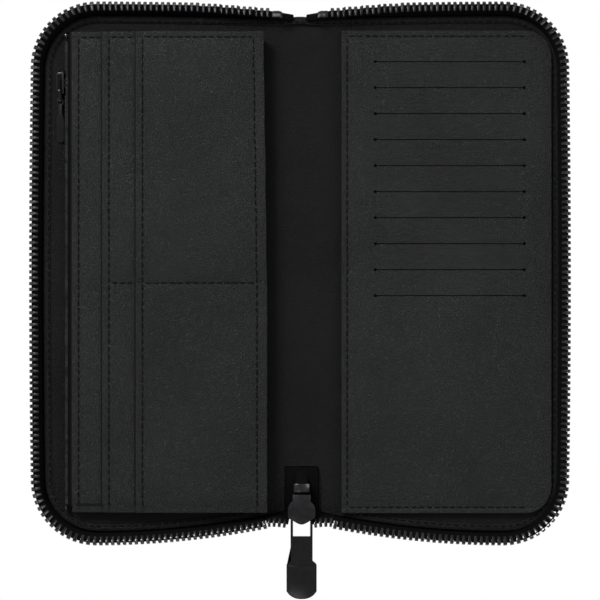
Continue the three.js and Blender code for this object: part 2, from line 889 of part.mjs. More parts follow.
// Coin slider: it faces left, with an arched crown. Its post passes between the rows of teeth.
const coinFrontRight = coinChainLeft - coinRunning;
const coinFrontLeft = coinFrontRight - coinPlateThick;
const coinBackLeft = coinTapeLip + coinTapeThick + coinRunning;
const coinSliderLow = coinSliderY - coinSliderLength / 2;
const coinSliderHigh = coinSliderY + coinSliderLength / 2;

function coinPlateShape(half) {
  const cut = half * 0.3;
  return polygon([
    [coinSliderLow, coinMiddle - half + cut],
    [coinSliderLow + cut, coinMiddle - half],
    [coinSliderHigh - cut, coinMiddle - half],
    [coinSliderHigh, coinMiddle - half + cut],
    [coinSliderHigh, coinMiddle + half - cut],
    [coinSliderHigh - cut, coinMiddle + half],
    [coinSliderLow + cut, coinMiddle + half],
    [coinSliderLow, coinMiddle + half - cut],
  ]);
}

const crownLowY = coinSliderLow + coinCrownInset;
const crownHighY = coinSliderHigh - coinCrownInset;
const coinCrownLeft = coinFrontLeft - coinCrownReach;
const coinCrown = polygon([
  [coinFrontLeft + embed, crownLowY],
  [coinFrontLeft + embed, crownLowY + coinCrownPost],
  [coinCrownLeft + coinCrownBar, crownLowY + coinCrownPost],
  [coinCrownLeft + coinCrownBar, crownHighY - coinCrownPost],
  [coinFrontLeft + embed, crownHighY - coinCrownPost],
  [coinFrontLeft + embed, crownHighY],
  [coinCrownLeft + 0.8, crownHighY],
  [coinCrownLeft, crownHighY - 1.4],
  [coinCrownLeft, crownLowY + 1.4],
  [coinCrownLeft + 0.8, crownLowY],
]);
add(
  "coin_slider",
  join(
    barAlongX(coinPlateShape(coinSliderHalf), coinFrontLeft, coinFrontRight),
    barAlongX(coinPlateShape(coinBackHalf), coinBackLeft, coinBackLeft + coinPlateThick),
    barAlongX(
      rectangle(
        coinSliderY - coinPostLength / 2,
        coinSliderY + coinPostLength / 2,
        coinMiddle - coinPostHalf,
        coinMiddle + coinPostHalf,
      ),
      coinFrontRight - embed,
      coinBackLeft + embed,
    ),
    plate(coinCrown, coinMiddle - coinCrownHalf, coinMiddle + coinCrownHalf),
  ),
  blackMetal,
);

// Link and pull, in a group that leans down to the lining. The link turns round the crown's lower post.
const linkX = (coinCrownLeft + coinCrownBar + coinFrontLeft) / 2;
const linkPivotY = crownLowY + coinCrownPost / 2;
const eyeY = -linkLength - linkInner - linkWire / 2;
const leaning = new THREE.Group();
leaning.position.set(linkX, linkPivotY, coinMiddle);
const leanDrop = coinMiddle - bladeThick / 2 - floorZ - 0.1;
leaning.rotation.x = Math.asin(leanDrop / (bladeLength - eyeY));
wallet.add(leaning);

function oval(radius) {
  const shape = new THREE.Shape();
  shape.absarc(0, 0, radius, -Math.PI / 2, Math.PI / 2, false);
  shape.absarc(-linkLength, 0, radius, Math.PI / 2, (3 * Math.PI) / 2, false);
  return shape;
}

const linkShape = oval(linkInner + linkWire);
linkShape.holes.push(new THREE.Path(oval(linkInner).getPoints(8)));
add("coin_link", barAlongX(linkShape, -linkThick / 2, linkThick / 2), blackMetal, leaning);

const eyeAngle = Math.asin(bladeWaistHalf / eyeRadius);
const bladeShape = new THREE.Shape();
bladeShape.absarc(0, 0, eyeRadius, -Math.PI / 2 + eyeAngle, (3 * Math.PI) / 2 - eyeAngle, false);
bladeShape.lineTo(-bladeWaistHalf, -bladeWaistAt);
bladeShape.quadraticCurveTo(-bladeHalf, -bladeWideAt + 1, -bladeHalf, -bladeWideAt);
bladeShape.lineTo(-bladeHalf, -bladeLength + bladeHalf);
bladeShape.absarc(0, -bladeLength + bladeHalf, bladeHalf, Math.PI, 2 * Math.PI, false);
bladeShape.lineTo(bladeHalf, -bladeWideAt);
bladeShape.quadraticCurveTo(bladeHalf, -bladeWideAt + 1, bladeWaistHalf, -bladeWaistAt);
const eye = new THREE.Path();
eye.absarc(0, 0, eyeHole, 0, 2 * Math.PI, true);
bladeShape.holes.push(eye);
add(
  "coin_pull",
  plate(bladeShape, -bladeThick / 2, bladeThick / 2),
  blackMetal,
  leaning,
).position.y = eyeY;

// Card side: a backing sheet, the pockets' lining and the panel with its row of slots
function cardShape(inset) {
  const left = cardLeft;
  const right = cardRight - inset;
  const top = cardTop - inset;
  const bottom = cardBottom + inset;
  const shape = new THREE.Shape();
  shape.moveTo(left, bottom);
  shape.lineTo(right - cardCorner, bottom);
  shape.absarc(right - cardCorner, bottom + cardCorner, cardCorner, -Math.PI / 2, 0, false);
  shape.lineTo(right, top - cardCorner);
  shape.absarc(right - cardCorner, top - cardCorner, cardCorner, 0, Math.PI / 2, false);
  shape.lineTo(left, top);
  return shape;
}

// A slot is a narrow cut with a round hole at each end, drawn as one opening
function slotPath(y) {
  const half = slotWidth / 2;
  const turn = Math.asin(half / slotEye);
  const path = new THREE.Path();
  path.absarc(slotLeft, y, slotEye, turn, 2 * Math.PI - turn, false);
  path.absarc(slotLeft + slotLength, y, slotEye, Math.PI + turn, 3 * Math.PI - turn, false);
  return new THREE.Path(path.getPoints(4));
}

const backingTop = floorZ + cardBackingThick;
const pocketTop = backingTop + pocketLiningThick;
const slotted = cardShape(0);
for (let i = 0; i < slotCount; i += 1) {
  slotted.holes.push(slotPath(slotTopY - i * slotPitch));
}
add("card_panel_backing", plate(cardShape(cardBackingInset), floorZ, backingTop), blackCloth);
add("card_pocket_lining", plate(cardShape(0), backingTop, pocketTop), blackCloth);
add("card_panel", plate(slotted, pocketTop, pocketTop + cardPanelThick), blackLeather);

export default wallet;
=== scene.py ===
"""A zip-around long wallet in black grained leather, lying open on its back."""
import math

import bmesh
import bpy
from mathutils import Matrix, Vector


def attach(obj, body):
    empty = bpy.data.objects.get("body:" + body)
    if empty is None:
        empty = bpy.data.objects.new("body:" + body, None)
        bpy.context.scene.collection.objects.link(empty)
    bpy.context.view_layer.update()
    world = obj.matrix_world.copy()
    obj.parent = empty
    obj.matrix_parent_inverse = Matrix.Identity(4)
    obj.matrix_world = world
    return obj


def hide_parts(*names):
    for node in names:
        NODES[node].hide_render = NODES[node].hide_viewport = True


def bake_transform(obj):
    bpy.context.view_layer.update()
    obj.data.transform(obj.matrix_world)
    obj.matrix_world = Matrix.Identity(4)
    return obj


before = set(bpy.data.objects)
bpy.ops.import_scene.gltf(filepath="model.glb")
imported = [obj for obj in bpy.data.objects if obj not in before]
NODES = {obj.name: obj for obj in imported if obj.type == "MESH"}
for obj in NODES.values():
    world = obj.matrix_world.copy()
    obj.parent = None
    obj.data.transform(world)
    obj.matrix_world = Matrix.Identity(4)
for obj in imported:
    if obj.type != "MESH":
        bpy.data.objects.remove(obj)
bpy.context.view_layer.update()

# Lengths are in millimetres, apart from the studio's, and MM turns them into metres
MM = 0.001
# Places nearer than this count as the same
NEAR = 0.01

# The rim of the right half, as Bezier anchors: place, handle before, handle after
CORNER = 20.4
ROUND = CORNER * 0.5523
SIDE_CORNER = 97.2
TOP_PEAK = 98.0
BOTTOM_PEAK = -98.4
RIM = (
    ((0.0, 97.7), (-3.5, 97.7), (3.5, 97.7)),
    ((9.5, 97.0), (6.5, 96.9), (30.0, 97.4)),
    ((SIDE_CORNER - CORNER, TOP_PEAK), (53.7, TOP_PEAK), (SIDE_CORNER - CORNER + ROUND, TOP_PEAK)),
    ((SIDE_CORNER, TOP_PEAK - CORNER), (SIDE_CORNER, TOP_PEAK - CORNER + ROUND), (98.0, 25.2)),
    ((SIDE_CORNER, BOTTOM_PEAK + CORNER), (98.0, -26.2), (SIDE_CORNER, BOTTOM_PEAK + CORNER - ROUND)),
    ((SIDE_CORNER - CORNER, BOTTOM_PEAK), (SIDE_CORNER - CORNER + ROUND, BOTTOM_PEAK), (53.7, BOTTOM_PEAK)),
    ((7.6, -91.0), (30.7, -95.9), (0.0, -89.4)),
)
# Steps of the curve between two anchors, and the length between two cuts of a strip on it
RIM_SMOOTHNESS = 24
RIM_STEP = 1.6

# Cuts that let the sheets bend at a fold, and where the bend starts and stops
FOLD_CUTS = [4.4, 5.4, 5.9, 6.4, 6.9, 7.3, 7.7, 8.2, 8.7, 9.2]

# Heights of the cover and the lining, and how far the lining sinks at the spine
COVER_TOP = 1.2
LINING_LOW = 2.0
LINING_TOP = 2.8
LINING_SINK = 0.8
LINING_INSET = 0.4

# Cuts across the sheets: their distance, and from where to where they lie
SHEET_STEP = 6.0
SHEET_ACROSS = (12, 98)
SHEET_ALONG = (-97, 97)
PANEL_STEP = 12.0

# The notch that the tail of the tape and the slider lie in
NOTCH_LEFT = 5.9
NOTCH_RIGHT = 8.2
NOTCH_TOP = -73.4
# Corners of the near-black sheet that paints the shade in the notch's deep hollow
NOTCH_SHADE_LOW = (-6.2, -90.4, 1.0)
NOTCH_SHADE_HIGH = (7.2, NOTCH_TOP + 0.4, 1.7)

# Stitches and their pressed channels
STITCH_PITCH = 2.9
STITCH_LENGTH = 2.1
THREAD_RADIUS = 0.26
# How deep a row lies in its channel
THREAD_SINK = 0.12
# How much of the pitch a stitch fills in a straight row
THREAD_SHARE = 0.72
# From a stitch's middle to where its ends sink, as a share of its length
STITCH_SHOULDER = 0.32
STITCH_END_SINK = 0.24
STITCH_END_SHARE = 0.6
CHANNEL_HALF = 0.55
CHANNEL_DEPTH = 0.3

# The left block: name, left edge, underside, top face, heights of cross seams
SEAM_Y = -3.8
LEFT_PANELS = (
    ("slip_pocket_panel", -86.0, 7.5, 8.3, ()),
    ("card_pocket_panel_outer", -74.5, 8.3, 9.1, (SEAM_Y,)),
    ("card_pocket_panel_inner", -61.8, 9.1, 9.9, (SEAM_Y,)),
)
BLOCK_TOP = 90.9
BLOCK_RIGHT = -12.6
BLOCK_BOTTOM = -90.4
BLOCK_SEAM_LEFT_IN = 2.6
BLOCK_SEAM_RIGHT = -16.4
BLOCK_SEAM_TOP = BLOCK_TOP - 2.2
BLOCK_SEAM_BOTTOM = -88.0
# Where the rows of stitches start and stop beside the crossing rows
ROW_GAP = 0.2
TOP_ROW_START = 3.2
CROSS_ROW_START = 3.4
ROW_RIGHT_GAP = 0.6
# The dark strip that paints the shade in the gap beside each panel: outwards, under the panel, and down from
# its top
GAP_SHADE_OUT = 0.5
GAP_SHADE_UNDER = 0.1
GAP_SHADE_DOWN = 0.2
GAP_SHADE_ROUND = 0.08
# The block's lower end bends down from a line, over a reach, a share at a time
BLOCK_CUTS = (-84.0, -85.6, -87.2, -88.8)
DIP_START = -84.0
DIP_FALL = 0.6
DIP_REACH = 6.4
DIP_SHARES = (0.25, 0.5, 0.75, 1.0)

# The block's right edge goes left by a step above each height, and then all of it goes right
SLANT_LINE = -18.0
SLANT_STEPS = ((75.0, -0.35), (50.0, -0.35), (25.0, -0.3), (0.0, -0.3))
SLANT_RIGHT = 0.25

# Coin zip: its rows of teeth
COIN_PITCH = 1.7
COIN_END = -87.6
COIN_TOP = 88.4
COIN_TOOTH_LEFT = -88.95
COIN_TOOTH_RIGHT = -87.7
COIN_TOOTH_LENGTH = 0.95
COIN_TOOTH_STEP_IN = 0.2
COIN_TOOTH_STEP_OUT = 0.15
COIN_TOOTH_ROUND = 0.12
# Each row: name, shift along the zip, underside, top
COIN_ROWS = (("lower", 0.0, 4.35, 5.35), ("upper", 0.85, 4.95, 5.95))

# Where the main pull's neck meets its head, and how far the head goes down
PULL_NECK_Y = -104.0
PULL_HEAD_DOWN = 1.4

# Card panel and its slots
CARD_LOW = (15.7, -90.9, 4.4)
CARD_HIGH = (95.3, 91.8, 5.4)
CARD_CORNER = 10.0
CARD_SEAM_IN = 2.2
# Outside each line the panel goes down by a step, towards its outer edge
CARD_FALL_LINES = (88.6, 90.3, 92.0, 93.7)
CARD_FALL_STEP = 0.2
CARD_CUTS = (88.5, 90.2, 91.9, 93.6)
SLOT_COUNT = 10
SLOT_TOP = 80.0
SLOT_PITCH = 9.84
SLOT_LEFT = 28.5
SLOT_RIGHT = 84.9
SLOT_HALF = 0.17
SLOT_EYE = 0.62
SLOT_REACH = 3

# The run from the end of the right rim into the slider: place, handle before, handle after
BRIDGE = (
    ((13.2, -91.72), (15.0, -92.1), (11.0, -91.3)),
    ((3.8, -92.2), (6.5, -91.5), (2.0, -92.6)),
)

# The right binding is sewn a little further out than the left one
RIGHT_BINDING_SHIFT = 1.3
BINDING_SHIFT_LINES = (60.0, 72.0, 82.0)

# Sections of the strips along the rim, as (outwards, up) points
BINDING_SECTION = (
    (-0.35, 2.75), (-0.35, 3.15), (-0.6, 3.38), (-1.7, 3.46), (-2.6, 3.36), (-3.0, 3.1), (-3.0, 2.75),
)
TAPE_SECTION = (
    (-1.0, 1.3), (-1.0, 1.9), (0.15, 2.0), (0.3, 3.2), (0.7, 5.6), (0.9, 6.25),
    (1.5, 6.25), (1.3, 5.4), (0.95, 3.2), (0.9, 1.6), (0.5, 1.3),
)
CORD_SECTION = (
    (1.0, 6.0), (1.0, 6.5), (1.3, 6.8), (3.1, 7.85), (3.45, 7.7), (3.4, 7.4), (1.6, 6.1),
)
STOP_SECTION = (
    (1.2, 6.4), (1.3, 7.0), (2.6, 8.0), (3.4, 8.3), (3.8, 8.0), (3.6, 7.3), (2.4, 6.4), (1.8, 6.1),
)
BRIDGE_SECTION = (
    (-1.0, 1.3), (-1.0, 1.9), (0.15, 2.0), (0.3, 3.2), (0.72, 5.2), (0.85, 6.0), (2.5, 7.2), (2.9, 7.1),
    (2.9, 6.7), (1.45, 5.8), (1.3, 5.0), (0.95, 3.2), (0.9, 1.6), (0.5, 1.3),
)
BRIDGE_TOOTH = (0.2, 0.0, -0.9)

# How far before the rim's end each strip stops
BINDING_END = 9.0
TAPE_END = 5.0
CORD_END = 7.0
THREAD_END = 10.0

# The row of stitches on the binding, in the strips' section
RIM_THREAD_OUT = -2.35
RIM_THREAD_UP = 3.44

# Studio, in metres, with the lens and the sensor in millimetres. Lamps: name, place, size, power
CAMERA_PLACE = (0, -0.0102, 0.655)
CAMERA_LENS = 103.0
CAMERA_SENSOR = 36.0
ROOM_LIGHT = 0.5
FLOOR_SIZE = 6
FLOOR_PLACE = (0, 0, -0.0002)
LAMPS = (
    ("key_lamp", (-0.55, 0.75, 0.8), 0.4, 17.0),
    ("fill_lamp", (0.8, 0.3, 0.8), 0.7, 4.0),
    ("low_lamp", (-0.2, -0.9, 0.6), 0.5, 2.5),
)

# Teeth of the main zip
TOOTH_PITCH = 2.2
TOOTH_WIDTH = 1.3
TOOTH_REACH = 2.9
TOOTH_THICK = 1.7
TOOTH_START = 0.45
TOOTH_BACK = -0.3
TOOTH_CUTS = [1.0, 1.9]
TOOTH_LEG_REACH = 1.2
TOOTH_LEG_SHARE = (0.78, 1, 0.9)
TOOTH_SCOOP_IN = 0.25
TOOTH_SCOOP_DEEP = 0.28
TOOTH_ROUND = 0.34
TOOTH_RISE = 32
TOOTH_FOOT_OUT = 1.6
TOOTH_FOOT_UP = 6.65
CHAIN_START = 11.2
STOP_START = 6.4
STOP_GAP = 0.5
STOP_ROUND = 0.25
TAIL_START = 5.4
CHAIN_END = 5.2

# Near the spine the top of the tape leans inwards: before each line it goes in by a step
LEAN_STEPS = ((38.0, 0.3), (30.0, 0.4), (23.0, 0.4), (17.0, 0.4), (11.0, 0.4), (7.5, 0.4))
LEAN_ABOVE = 4.0
TOP_SIDE = 90

# The tape's tail tapers: above each height it falls by a step
TAIL_STEPS = ((-1.0, 0.0), (3.0, 0.8), (4.0, 2.4))
TAIL_REACH = 0.9
TAIL_OUT = -1.1
TAIL_IN = -0.15


def clear():
    """Nothing is left selected, in object mode."""
    if bpy.context.object and bpy.context.object.mode != "OBJECT":
        bpy.ops.object.mode_set(mode="OBJECT")
    bpy.ops.object.select_all(action="DESELECT")


def only(piece):
    """This piece alone is selected and active."""
    clear()
    piece.select_set(True)
    bpy.context.view_layer.objects.active = piece


def settle(piece, name):
    """The piece gets its name, and its place goes into its mesh."""
    only(piece)
    bpy.ops.object.transform_apply(location=True, rotation=True, scale=True)
    piece.name = name
    piece.data.name = name
    return piece


def block(name, low, high):
    """A box between two corners in millimetres, to be shaped further."""
    clear()
    bpy.ops.mesh.primitive_cube_add(size=1)
    piece = bpy.context.object
    piece.location = [(a + b) / 2 * MM for a, b in zip(low, high)]
    piece.scale = [(b - a) * MM for a, b in zip(low, high)]
    return settle(piece, name)


def pick(piece, kind, test):
    """In edit mode, the faces, edges or vertices that pass a test on place and normal are selected."""
    only(piece)
    bpy.ops.object.mode_set(mode="EDIT")
    bpy.ops.mesh.select_all(action="DESELECT")
    bpy.ops.mesh.select_mode(type=kind)
    mesh = bmesh.from_edit_mesh(piece.data)
    mesh.normal_update()
    for part in {"FACE": mesh.faces, "EDGE": mesh.edges, "VERT": mesh.verts}[kind]:
        if kind == "FACE":
            chosen = test(part.calc_center_median() / MM, part.normal)
        elif kind == "EDGE":
            a, b = (v.co for v in part.verts)
            chosen = test((a + b) / 2 / MM, (b - a).normalized())
        else:
            chosen = test(part.co / MM, part.normal)
        if chosen:
            part.select_set(True)
    mesh.select_flush_mode()
    bmesh.update_edit_mesh(piece.data)


def shift(piece, test, x=0.0, y=0.0, z=0.0):
    """The vertices whose place passes a test move by millimetres."""
    pick(piece, "VERT", lambda c, n: test(c))
    bpy.ops.transform.translate(value=(x * MM, y * MM, z * MM))
    clear()


def finish_modifier(piece, kind, **settings):
    """Adds a modifier with its settings and applies it."""
    only(piece)
    modifier = piece.modifiers.new(kind, kind)
    for key, value in settings.items():
        setattr(modifier, key, value)
    bpy.ops.object.modifier_apply(modifier=modifier.name)


def soften(piece, angle=40):
    """Smooth shading, apart from edges sharper than the angle."""
    only(piece)
    bpy.ops.object.shade_smooth_by_angle(angle=math.radians(angle))
    return piece


def bisect(piece, axis, places):
    """Cuts the whole piece across one axis at each place, in millimetres."""
    for place in places:
        pick(piece, "FACE", lambda c, n: True)
        point = [0, 0, 0]
        point[axis] = place * MM
        normal = [0, 0, 0]
        normal[axis] = 1
        bpy.ops.mesh.bisect(plane_co=point, plane_no=normal)
    clear()


def spread(start, end, step):
    """Even places from start to end, about a step apart, without the ends."""
    count = max(1, round(abs(end - start) / step))
    return [start + (end - start) * i / count for i in range(1, count)]


# Materials

# Leather: share of the grain for the fine surface, spacing of the slow creases, swing of the sheen
FINE_SHARE = 0.5
CREASE_SPACING = 38
SHEEN_SWING = 0.06
# A wave texture repeats every 0.314 units at scale 1
WAVE_UNIT = 0.314


def linear(code):
    """An sRGB hex colour as linear values."""
    parts = [int(code[i:i + 2], 16) / 255 for i in (0, 2, 4)]
    return [p / 12.92 if p <= 0.04045 else ((p + 0.055) / 1.055) ** 2.4 for p in parts] + [1.0]


def material(name, base, **sockets):
    """A material with a Principled shader whose sockets are set directly."""
    made = bpy.data.materials.new(name)
    made.use_nodes = True
    shader = made.node_tree.nodes["Principled BSDF"]
    shader.inputs["Base Color"].default_value = linear(base)
    for key, value in sockets.items():
        shader.inputs[key.replace("_", " ")].default_value = value
    return made


def node(made, kind, links=(), **settings):
    """Adds a node: settings are its properties or sockets, links are (socket, from node, output)."""
    new = made.node_tree.nodes.new(kind)
    for key, value in settings.items():
        if hasattr(new, key):
            setattr(new, key, value)
        else:
            new.inputs[key.replace("_", " ")].default_value = value
    for socket, source, output in links:
        made.node_tree.links.new(source.outputs[output], new.inputs[socket])
    return new


def shades(made, source, output, dark, light, low=0.3, high=0.7):
    """A colour ramp between two hex colours goes to the base colour."""
    ramp = node(made, "ShaderNodeValToRGB", [("Fac", source, output)])
    ramp.color_ramp.elements[0].position = low
    ramp.color_ramp.elements[1].position = high
    ramp.color_ramp.elements[0].color = linear(dark)
    ramp.color_ramp.elements[1].color = linear(light)
    shader = made.node_tree.nodes["Principled BSDF"]
    made.node_tree.links.new(ramp.outputs["Color"], shader.inputs["Base Color"])


def bump(made, source, output, strength, distance, below=None):
    """A bump from a height, in millimetres, on top of another bump if one is given."""
    links = [("Height", source, output)]
    if below:
        links.append(("Normal", below, "Normal"))
    new = node(made, "ShaderNodeBump", links, Strength=strength, Distance=distance * MM)
    shader = made.node_tree.nodes["Principled BSDF"]
    made.node_tree.links.new(new.outputs["Normal"], shader.inputs["Normal"])
    return new


def leather(name, dark, light, grain, strength, roughness, gloss):
    """Cow leather with a pressed pebble grain: soft uneven sheen, small cells and faint long creases."""
    made = material(name, light, Roughness=roughness, Specular_IOR_Level=gloss)
    place = node(made, "ShaderNodeTexCoord")
    cells = node(made, "ShaderNodeTexVoronoi", [("Vector", place, "Object")],
                 feature="DISTANCE_TO_EDGE", Scale=1 / (grain * MM), Randomness=1.0)
    rise = node(made, "ShaderNodeValToRGB", [("Fac", cells, "Distance")])
    rise.color_ramp.elements[0].position = 0.02
    rise.color_ramp.elements[1].position = 0.22
    fine = node(made, "ShaderNodeTexNoise", [("Vector", place, "Object")],
                Scale=1 / (grain * FINE_SHARE * MM), Detail=4.0)
    slow = node(made, "ShaderNodeTexNoise", [("Vector", place, "Object")],
                Scale=1 / (CREASE_SPACING * MM), Detail=5.0, Roughness=0.6)
    shades(made, slow, "Fac", dark, light)
    under = bump(made, rise, "Color", strength, 0.4)
    over = bump(made, fine, "Fac", strength * 0.8, 0.3, under)
    bump(made, slow, "Fac", 0.5, 1.2, over)
    shader = made.node_tree.nodes["Principled BSDF"]
    sheen = node(made, "ShaderNodeMapRange", [("Value", slow, "Fac")])
    sheen.inputs["To Min"].default_value = roughness - SHEEN_SWING
    sheen.inputs["To Max"].default_value = roughness + SHEEN_SWING
    made.node_tree.links.new(sheen.outputs["Result"], shader.inputs["Roughness"])
    return made


def woven(name, dark, light, spacing):
    """Woven polyester tape: fine crossing ribs and almost no gloss, with painted highlight on the ribs'
    crests and painted shade between them.
    """
    made = material(name, light, Roughness=0.85, Specular_IOR_Level=0.08)
    place = node(made, "ShaderNodeTexCoord")
    across = node(made, "ShaderNodeTexWave", [("Vector", place, "Object")],
                  bands_direction="X", Scale=WAVE_UNIT / (spacing * MM))
    along = node(made, "ShaderNodeTexWave", [("Vector", place, "Object")],
                 bands_direction="Y", Scale=WAVE_UNIT / (spacing * MM))
    both = node(made, "ShaderNodeMath", operation="MULTIPLY")
    made.node_tree.links.new(across.outputs["Fac"], both.inputs[0])
    made.node_tree.links.new(along.outputs["Fac"], both.inputs[1])
    # The colour follows the ribs' height: painted highlight on their crests, painted shade between them
    shades(made, both, "Value", dark, light, 0.0, 1.0)
    bump(made, both, "Value", 0.6, 0.15)
    return made


def clouded(name, dark, light, grain, roughness, gloss):
    """Pressed fibre, and the painted shade in the gaps beside the panels: faint clouds of tone over a fine
    uneven surface.
    """
    made = material(name, light, Roughness=roughness, Specular_IOR_Level=gloss)
    place = node(made, "ShaderNodeTexCoord")
    clouds = node(made, "ShaderNodeTexNoise", [("Vector", place, "Object")],
                  Scale=1 / (grain * MM), Detail=5.0)
    shades(made, clouds, "Fac", dark, light)
    bump(made, clouds, "Fac", 0.3, 0.1)
    return made


def metal(name, dark, light, roughness):
    """Zinc die casting with a black nickel plating: dark mirror with faint polishing marks."""
    made = material(name, light, Metallic=1.0, Roughness=roughness)
    place = node(made, "ShaderNodeTexCoord")
    marks = node(made, "ShaderNodeTexNoise", [("Vector", place, "Object")],
                 Scale=1 / (2.5 * MM), Detail=6.0)
    shades(made, marks, "Fac", dark, light)
    bump(made, marks, "Fac", 0.15, 0.05)
    return made


# Panels of pebbled cow leather: charcoal, fine grain and a soft broad sheen
PANEL = leather("grained_cow_leather_panels", "191a1a", "222323", 0.75, 1.0, 0.5, 0.17)
# Lining of thinner cow leather: nearly black, flat and dull, so that the panels stand out
LINING = leather("grained_cow_leather_lining", "0b0b0b", "111111", 0.75, 0.5, 0.55, 0.08)
# Turned binding at the rim: the lining's leather, with a little more sheen on its round edge
BINDING = leather("grained_cow_leather_binding", "0d0d0d", "121212", 0.7, 0.5, 0.5, 0.1)
# Outer cover: black cow leather with a coarser grain
COVER = leather("grained_cow_leather_cover", "0b0b0b", "101010", 0.9, 0.6, 0.5, 0.1)
# Painted shade: dull black strips in the gaps beside the panels, where the panels' edges cast shade
EDGE = clouded("painted_leather_edge", "040404", "070707", 1.2, 0.6, 0.1)
# Sewing thread: black, with a painted highlight where its strands turn up
THREAD = woven("bonded_polyester_thread", "050505", "141414", 0.25)
# Zip tape: deep black with fine ribs and no sheen
TAPE = woven("woven_polyester_zip_tape", "020202", "070707", 0.5)
# Pocket cloth: dark grey, seen at the pockets' sides
CLOTH = woven("woven_polyester_lining_cloth", "0c0c0c", "1a1a1a", 0.4)
# Painted shade: a near-black sheet in the notch, standing for the shade in its deep hollow, so that the
# slider stands out
NOTCH_SHADE = woven("painted_notch_shade", "010101", "020202", 0.4)
# Board between cover and lining: brown fibre, hardly seen
BOARD = clouded("pressed_bonded_board", "332e28", "423b33", 0.8, 0.9, 0.2)
# Teeth and stops: polished black nickel with bright points of light
TEETH = metal("black_nickel_zip_teeth", "2c2c2d", "4c4c4e", 0.2)
# Pulls and coin slider: black nickel with a soft reflection
CAST = metal("black_nickel_die_casting", "2a2a2b", "303031", 0.3)
# Main slider: satin gunmetal with a broad dull reflection
SATIN = metal("satin_gunmetal_plate", "272728", "333335", 0.42)

SLOT_MATERIALS = {
    "cover_leather": COVER, "panel_leather": PANEL, "lining_leather": LINING,
    "stiffener_board": BOARD, "zip_tape": TAPE, "pocket_cloth": CLOTH,
    "zip_metal": TEETH, "slider_metal": CAST,
}

# Copies of CAD nodes: node, name, body, material, slot, rounding of the edges
CASTINGS = (
    ("main_slider", "main_slider_casting", "spine", SATIN, "slider_metal", 0.3),
    ("main_pull", "main_pull_tab", "main_pull", CAST, "slider_metal", 0.22),
    ("coin_slider", "coin_slider_casting", "coin_slider", CAST, "slider_metal", 0.12),
    ("coin_link", "coin_link_casting", "coin_link", CAST, "slider_metal", 0.12),
    ("coin_pull", "coin_pull_casting", "coin_pull", CAST, "slider_metal", 0.12),
)
SOFT_PARTS = (
    ("stiffener_left", "pressed_board_left", "left_half", BOARD, "stiffener_board", 0.15),
    ("stiffener_right", "pressed_board_right", "right_half", BOARD, "stiffener_board", 0.15),
    ("coin_back_panel", "coin_pocket_back_cloth", "left_half", CLOTH, "pocket_cloth", 0.08),
    ("coin_front_panel", "coin_pocket_front_cloth", "left_half", CLOTH, "pocket_cloth", 0.08),
    ("coin_gusset_top", "coin_pocket_top_fold", "left_half", CLOTH, "pocket_cloth", 0.08),
    ("coin_gusset_bottom", "coin_pocket_bottom_fold", "left_half", CLOTH, "pocket_cloth", 0.08),
    ("coin_gusset_side", "coin_pocket_side_fold", "left_half", CLOTH, "pocket_cloth", 0.08),
    ("coin_zip_tape_lower", "coin_tape_woven_lower", "left_half", TAPE, "zip_tape", 0.06),
    ("coin_zip_tape_upper", "coin_tape_woven_upper", "left_half", TAPE, "zip_tape", 0.06),
    ("coin_zip_stop_lower", "coin_stop_crimped_lower", "left_half", TEETH, "zip_metal", 0.12),
    ("coin_zip_stop_upper", "coin_stop_crimped_upper", "left_half", TEETH, "zip_metal", 0.12),
    ("coin_zip_end_stop", "coin_stop_crimped_end", "left_half", TEETH, "zip_metal", 0.12),
    ("card_panel_backing", "card_panel_back_cloth", "right_half", CLOTH, "pocket_cloth", 0.08),
    ("card_pocket_lining", "card_pocket_inner_cloth", "right_half", CLOTH, "pocket_cloth", 0.08),
    ("zip_tail_tape", "tail_tape_woven", "spine", TAPE, "zip_tape", 0.08),
    ("zip_tail_stop", "tail_stop_crimped", "spine", TEETH, "zip_metal", 0.12),
)


def dress_nodes():
    """Every CAD node that stays gets the material of its slot."""
    for piece in NODES.values():
        for slot in piece.material_slots:
            key = slot.material.name.split(".")[0] if slot.material else ""
            slot.material = SLOT_MATERIALS.get(key, COVER)


def dress(piece, made, body, slot, *replaced):
    """The piece gets its material and a body if one is given, and the nodes it stands for are hidden; the
    slot is not used.
    """
    piece.data.materials.clear()
    piece.data.materials.append(made)
    if body:
        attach(piece, body)
    if replaced:
        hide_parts(*replaced)
    return piece


# Studio

